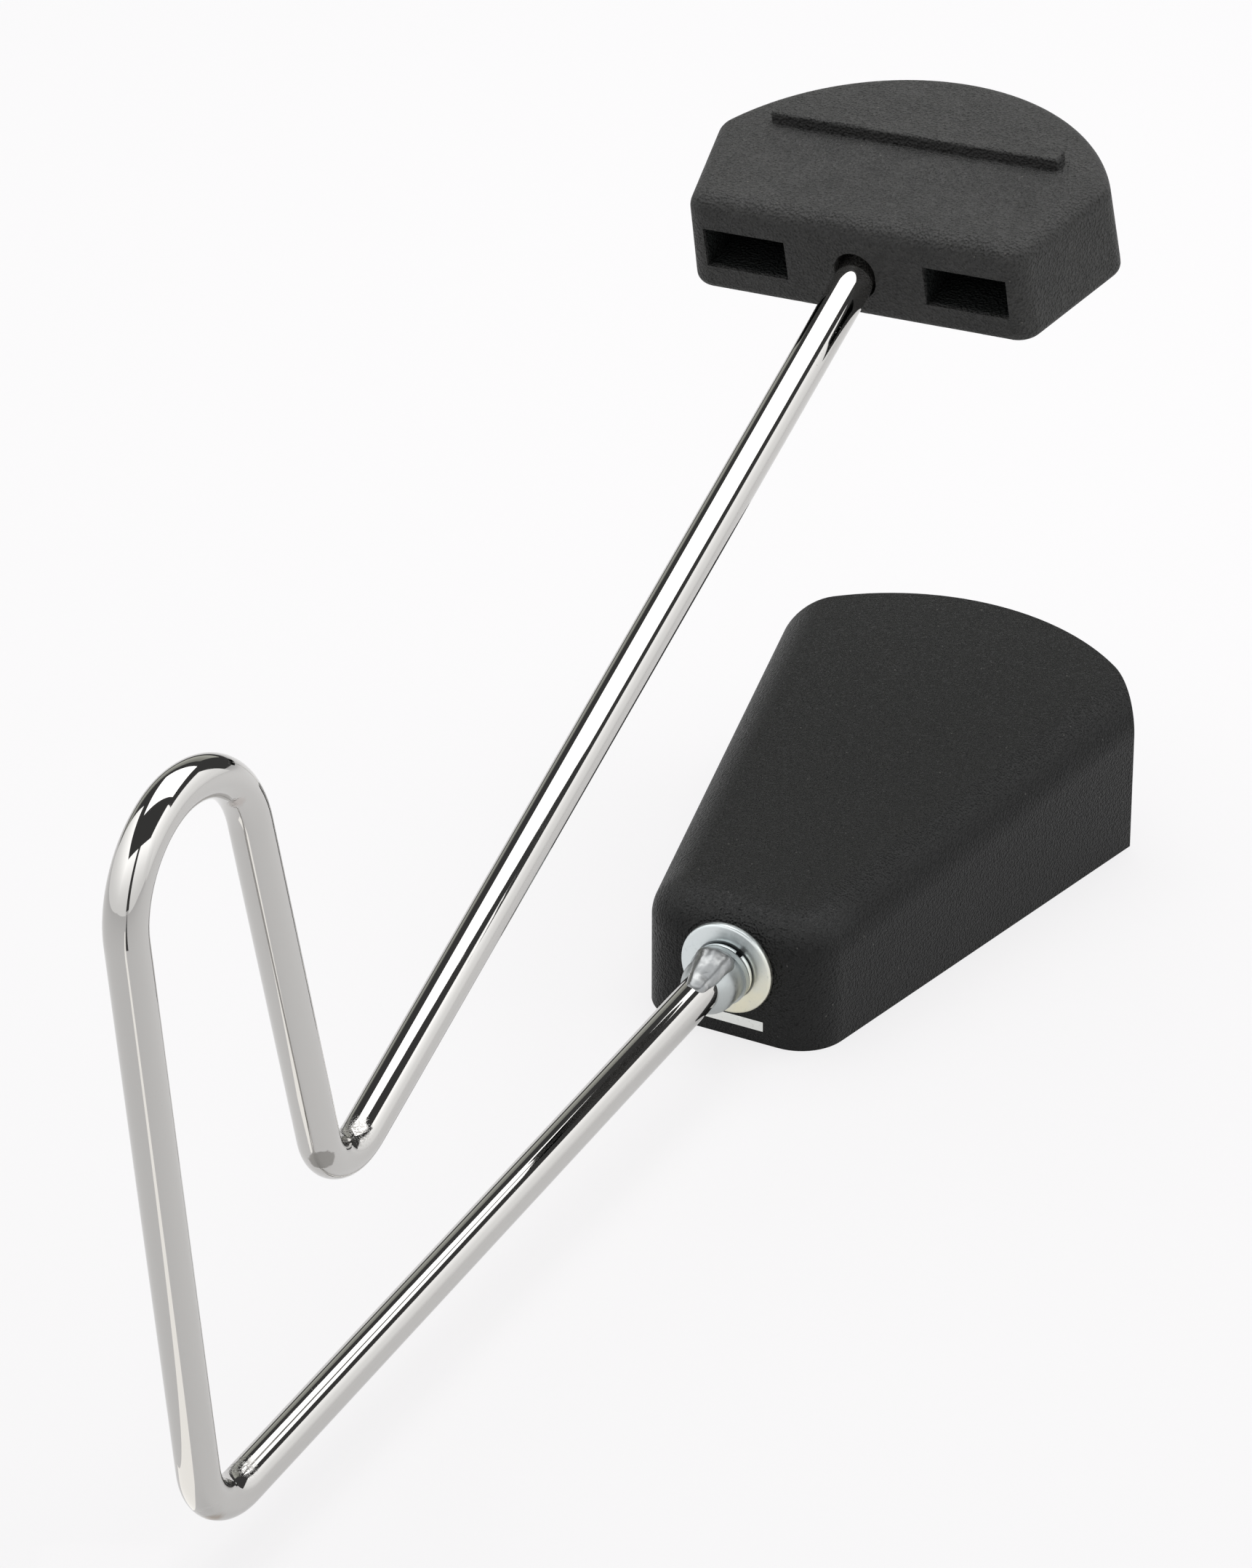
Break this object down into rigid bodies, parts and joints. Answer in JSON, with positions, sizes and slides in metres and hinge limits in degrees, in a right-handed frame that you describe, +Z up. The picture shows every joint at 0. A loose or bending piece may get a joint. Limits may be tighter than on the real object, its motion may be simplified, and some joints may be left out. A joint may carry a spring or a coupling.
{
  "type": "vibraslap",
  "caption": "Hand percussion rattle: a chromed bent spring rod joins a flared black plastic sound box with loose steel rattle pins to a rubber striker block.",
  "frame": {"origin": "on the box's flat underside, in the plane of symmetry, 60 mm behind the box's front wall", "axes": "+X out of the box's open mouth, +Y to the left seen from the rod, +Z up from the box's underside"},
  "size_m": [0.421, 0.1041, 0.2009],
  "materials": {
    "chrome_rod": "bright chrome plating on steel bar",
    "black_plastic": "satin black, fine pebble grain",
    "black_rubber": "dull dark grey-black, coarse pebble grain",
    "zinc_hardware": "bright zinc plating",
    "zinc_plate": "zinc-plated sheet",
    "steel_pin": "plain bright steel",
    "weld_metal": "dull grey weld under thin plating"
  },
  "bodies": {
    "instrument": {"rod": "chrome_rod", "weld_bead": "weld_metal", "mounting_bolt": "zinc_hardware", "lock_washer": "zinc_hardware", "flat_washer": "zinc_hardware", "sound_box": "black_plastic", "rattle_plate": "zinc_plate", "inner_washer": "zinc_hardware", "nut": "zinc_hardware", "striker": "black_rubber"},
    "pin_1": {"rattle_pin_1": "steel_pin"},
    "pin_2": {"rattle_pin_2": "steel_pin"},
    "pin_3": {"rattle_pin_3": "steel_pin"},
    "pin_4": {"rattle_pin_4": "steel_pin"},
    "pin_5": {"rattle_pin_5": "steel_pin"},
    "pin_6": {"rattle_pin_6": "steel_pin"},
    "pin_7": {"rattle_pin_7": "steel_pin"},
    "pin_8": {"rattle_pin_8": "steel_pin"},
    "pin_9": {"rattle_pin_9": "steel_pin"},
    "pin_10": {"rattle_pin_10": "steel_pin"},
    "pin_11": {"rattle_pin_11": "steel_pin"},
    "pin_12": {"rattle_pin_12": "steel_pin"}
  },
  "joints": [
    {"name": "pin_1_lift", "type": "slide", "parent": "instrument", "child": "pin_1", "axis": [0, 0, 1], "range_m": [0, 0.01]},
    {"name": "pin_2_lift", "type": "slide", "parent": "instrument", "child": "pin_2", "axis": [0, 0, 1], "range_m": [0, 0.01]},
    {"name": "pin_3_lift", "type": "slide", "parent": "instrument", "child": "pin_3", "axis": [0, 0, 1], "range_m": [0, 0.01]},
    {"name": "pin_4_lift", "type": "slide", "parent": "instrument", "child": "pin_4", "axis": [0, 0, 1], "range_m": [0, 0.01]},
    {"name": "pin_5_lift", "type": "slide", "parent": "instrument", "child": "pin_5", "axis": [0, 0, 1], "range_m": [0, 0.01]},
    {"name": "pin_6_lift", "type": "slide", "parent": "instrument", "child": "pin_6", "axis": [0, 0, 1], "range_m": [0, 0.01]},
    {"name": "pin_7_lift", "type": "slide", "parent": "instrument", "child": "pin_7", "axis": [0, 0, 1], "range_m": [0, 0.01]},
    {"name": "pin_8_lift", "type": "slide", "parent": "instrument", "child": "pin_8", "axis": [0, 0, 1], "range_m": [0, 0.01]},
    {"name": "pin_9_lift", "type": "slide", "parent": "instrument", "child": "pin_9", "axis": [0, 0, 1], "range_m": [0, 0.01]},
    {"name": "pin_10_lift", "type": "slide", "parent": "instrument", "child": "pin_10", "axis": [0, 0, 1], "range_m": [0, 0.01]},
    {"name": "pin_11_lift", "type": "slide", "parent": "instrument", "child": "pin_11", "axis": [0, 0, 1], "range_m": [0, 0.01]},
    {"name": "pin_12_lift", "type": "slide", "parent": "instrument", "child": "pin_12", "axis": [0, 0, 1], "range_m": [0, 0.01]}
  ]
}
